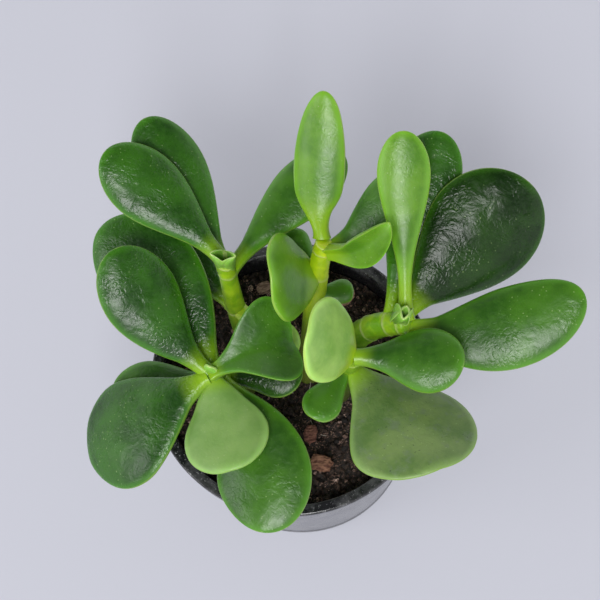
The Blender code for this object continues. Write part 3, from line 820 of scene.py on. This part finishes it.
# Each leaf: share of the way up the stem, heading, rise, length, width, then its skin and
# whatever makes it its own. Angles are in degrees. Roll turns it about its midrib, bend lifts
# its end, sweep curves it to the left, fold cups it and dome arches it. Widest is the share of
# its length where it is widest, pull the share over which its neck stays slim, and apart and
# sink move its base outward and down.
LEAVES = {
    "back_left": [
        (0.96, 125, 21, 46, 22, "old", dict(sweep=14, widest=0.66)),
        (0.87, 108, 19, 50, 21, "old", dict(sweep=7, widest=0.66)),
        (0.86, 45, 9, 48, 19, "full", dict(sweep=-17, widest=0.68)),
        (0.52, 125, 25, 36, 20, "old", dict()),
        (0.52, -50, 5, 22, 14, "fresh_and_sheen", dict()),
    ],
    "front_left": [
        (0.93, 137, 30, 45, 24, "old", dict(roll=-7, sweep=-30)),
        (0.95, -161, -7, 46, 35, "old", dict(roll=10, bend=-34, fold=14)),
        (0.90, -86, 4, 28, 27, "flat", dict(roll=10, bend=12, widest=0.56, fold=2)),
        (0.97, 18, 22, 25, 31, "full", dict(sweep=-10, bend=-50, widest=0.72, fold=28)),
        (0.75, -57, 0, 48, 30, "full", dict(roll=13, sweep=-58, fold=5)),
        (0.56, 182, 1, 32, 22, "full", dict()),
        (0.80, 103, 16, 57, 31, "old", dict(roll=-15, sweep=45, bend=-6, fold=13)),
        (0.60, -5, 10, 22, 16, "dark", dict()),
    ],
    "back_middle": [
        (0.98, 81, 34, 43, 16, "young", dict(roll=-13, sweep=-7, widest=0.46, pull=0.30)),
        (0.92, -13, 35, 25, 14, "young", dict(roll=60, sweep=35, widest=0.55, fold=45)),
        (0.86, 27, 31, 35, 17, "full", dict()),
        (0.62, 182, 73, 27, 27, "young",
         dict(roll=-10, sweep=20, bend=-8, widest=0.52, round_base=True)),
        (0.66, 118, 8, 13, 11, "full", dict()),
        (0.50, 0, 12, 8, 8, "full", dict(thickness=2.4)),
    ],
    "back_right": [
        (0.97, 82, 33, 54, 16, "young", dict(widest=0.76)),
        (0.82, 71, 20, 56, 22, "old", dict(sweep=-15, widest=0.71)),
        (0.92, 32, 14, 53, 36, "dark", dict(roll=29, sweep=7, bend=4, fold=16, dome=15.0)),
        (0.95, -24, 6, 54, 25, "full", dict(roll=16, sweep=53, widest=0.56)),
    ],
    "front_right": [
        (1.0, 160, 66, 28, 25, "fresh_and_sheen",
         dict(roll=-6, sweep=10, widest=0.55, fold=12, apart=0.5, round_base=True)),
        (0.92, -9, 10, 30, 20, "full", dict(roll=4, sweep=-15)),
        (0.55, -53, 12, 43, 40, "stained", dict(roll=-16, sweep=-20, bend=10, widest=0.61, fold=3)),
        (0.55, -130, 15, 17, 12, "full", dict()),
    ],
}


def leaf_piece(shoot, name, node, finish, slot, number, share, heading, rise, length, width,
               roll=0.0, bend=0.0, sweep=0.0, widest=0.64, fold=8.0, thickness=3.6, apart=0.0,
               dome=LEAF_DOME, pull=0.0, sink=0.0, round_base=False):
    """One leaf, drawn out from a ball along its own curved midrib."""
    length *= TRIM
    width *= TRIM
    thickness *= PLUMPNESS
    cupped = fold > CUPPED_FROM
    bow = CUPPED_BOW if cupped else DOMED_BOW
    fold = fold if cupped else DOMED_FOLD * fold - dome
    middle, upward = stem_axis(shoot, share)
    tilt, turn = math.radians(rise), math.radians(heading)
    level_reach = math.cos(tilt)
    pointing = Vector((level_reach * math.cos(turn), level_reach * math.sin(turn), math.sin(tilt)))
    lean = pointing.dot(upward)
    outward = (pointing - upward * lean).normalized()
    if share == 1.0:             # it stands on the very end of the stem
        clear_by = CLEARANCE + thickness / 2 * math.sqrt(1 - lean ** 2)
        base = middle + upward * clear_by + outward * apart
        inward = -upward * (CLEARANCE + CLASP_DEPTH)
    else:
        clear_by = stem_radius(shoot, share) + CLEARANCE + thickness / 2 * abs(lean)
        base = middle + outward * clear_by
        inward = -outward * (CLEARANCE + CLASP_DEPTH)
    base -= upward * sink
    start = (Matrix.Rotation(turn, 3, "Z") @ Matrix.Rotation(-tilt, 3, "Y")
             @ Matrix.Rotation(math.radians(roll), 3, "X"))

    def axes(along):
        """Which ways the leaf's length, width and thickness point at a share of its length."""
        return (start @ Matrix.Rotation(math.radians(sweep * along), 3, "Z")
                @ Matrix.Rotation(math.radians(-bend * along), 3, "Y"))

    midrib = [base.copy()]
    for step in range(MIDRIB_STEPS):
        direction = axes((step + 0.5) / MIDRIB_STEPS).col[0]
        midrib.append(midrib[-1] + direction * (length / MIDRIB_STEPS))
    power = math.log(0.5) / math.log(widest)
    seed = Vector((7.3 * number, 2.9 * number, 1.7 * len(name)))
    clear_selection()
    bpy.ops.mesh.primitive_uv_sphere_add(segments=LEAF_SIDES, ring_count=LEAF_RINGS, radius=1.0)
    leaf = bpy.context.object
    leaf.name = name
    first_ring = math.cos(math.pi / LEAF_RINGS)
    up_leaf, rim_gap = [], []
    for vert in leaf.data.vertices:
        x, y, z = vert.co
        ring = math.hypot(x, y)
        across, over = (x / ring, y / ring) if ring > 1e-6 else (0.0, 0.0)
        along = min(1.0, max(0.0, (first_ring + z) / (first_ring + 1)))
        pole = 0.0 if ring <= 1e-6 else 1.0
        if along > widest:
            paddle = math.sqrt(max(0.0, 1 - ((along - widest) / (1 - widest)) ** 2))
        elif round_base:
            paddle = math.sqrt(max(0.0, 1 - ((widest - along) / widest) ** 2))
        else:
            paddle = math.sin(math.pi * along ** power) ** PADDLE_FULLNESS if along > 0.0 else 0.0
        if pull:
            slim = min(1.0, along / pull)
            paddle *= slim * (2 - slim)
        neck = min(LEAF_NECK, width * NECK_SHARE) * (1 - along)
        clasp = math.exp(-along * length / CLASP_REACH)
        half_width = math.hypot(width / 2 * paddle, neck) + CLASP_WIDENING * clasp
        half_thick = thickness / 2 * math.sqrt(1 - along ** 4) + CLASP_THICKENING * clasp
        over = math.copysign(abs(over) ** EDGE_FULLNESS, over)
        side = math.radians(fold) * abs(across)
        frame_here = axes(along)
        reach = along * MIDRIB_STEPS
        low = min(int(reach), MIDRIB_STEPS - 1)
        spine = midrib[low].lerp(midrib[low + 1], reach - low)
        root_share = max(0.0, 1.0 - along * length / CLASP_LENGTH)
        spine = spine + inward * (root_share * root_share * (3 - 2 * root_share))
        wave = EDGE_WAVE * noise.noise(Vector((along * 3.2, across * 0.8, 0.0)) + seed)
        spot = Vector((along * length, across * half_width, 0.0))
        dent = BLADE_DENTS * noise.noise(spot * 0.11 + seed)
        calm = min(1.0, along * 4.0) * min(1.0, (1.0 - along) * 12.0)
        sideways = half_width * across * math.cos(side) * pole
        curl = half_width * abs(across) ** bow * math.sin(math.radians(fold))
        lift = (curl + half_thick * over) * pole
        lift += (wave * across * across + dent) * calm
        vert.co = (spine + frame_here.col[1] * sideways + frame_here.col[2] * lift) * MM
        up_leaf.append(along)
        to_side, to_end = half_width * (1 - abs(across)), (1.0 - along) * length
        rim_gap.append(min(to_side, to_end * 0.8 + 0.02))
    write_values(leaf, up_leaf=up_leaf, rim_gap=rim_gap)
    settle(leaf, finish, slot, node, smooth=80.0)


for shoot, leaves in LEAVES.items():
    for number, (share, heading, rise, length, width, skin, own) in enumerate(leaves, start=1):
        leaf_piece(shoot, f"leaf_{number}_of_{shoot}", f"{shoot}_leaf_{number}", SKINS[skin],
                   "leaf_skin", number, share, heading, rise, length, width, **own)


# ---------------------------------------------------------------------------------------
# BUDS. Where a shoot is still growing, its newest pair of leaves stands up as a small cup
# with light rims round a dark middle.

bud_skin = leaf_tones("bud_skin", (0.10, 0.26, 0.03), (0.22, 0.44, 0.06), 0.2, 0.36,
                      base=(0.30, 0.46, 0.05), rim=(0.60, 0.72, 0.26), glow=0.2, gloss=0.3)
BUDS = {
    "back_left": [
        (1.0, 165, 74, 7.5, 8, dict(thickness=1.3, fold=64, apart=2.0, sink=1.6)),
        (1.0, -15, 74, 7.5, 8, dict(thickness=1.3, fold=64, apart=2.0, sink=1.6)),
    ],
    "front_left": [
        (1.0, 60, 70, 5, 4, dict(thickness=1.8)),
    ],
    "back_right": [
        (1.0, 65, 76, 6.5, 10, dict(thickness=1.5, fold=62, apart=2.6, sink=1.6)),
        (1.0, -115, 78, 6.5, 10, dict(thickness=1.5, fold=62, apart=2.6, sink=1.6)),
    ],
}
for shoot, leaves in BUDS.items():
    for number, (share, heading, rise, length, width, own) in enumerate(leaves, start=1):
        leaf_piece(shoot, f"bud_leaf_{number}_of_{shoot}", f"{shoot}_bud_leaf_{number}", bud_skin,
                   "bud_skin", number, share, heading, rise, length, width, **own)
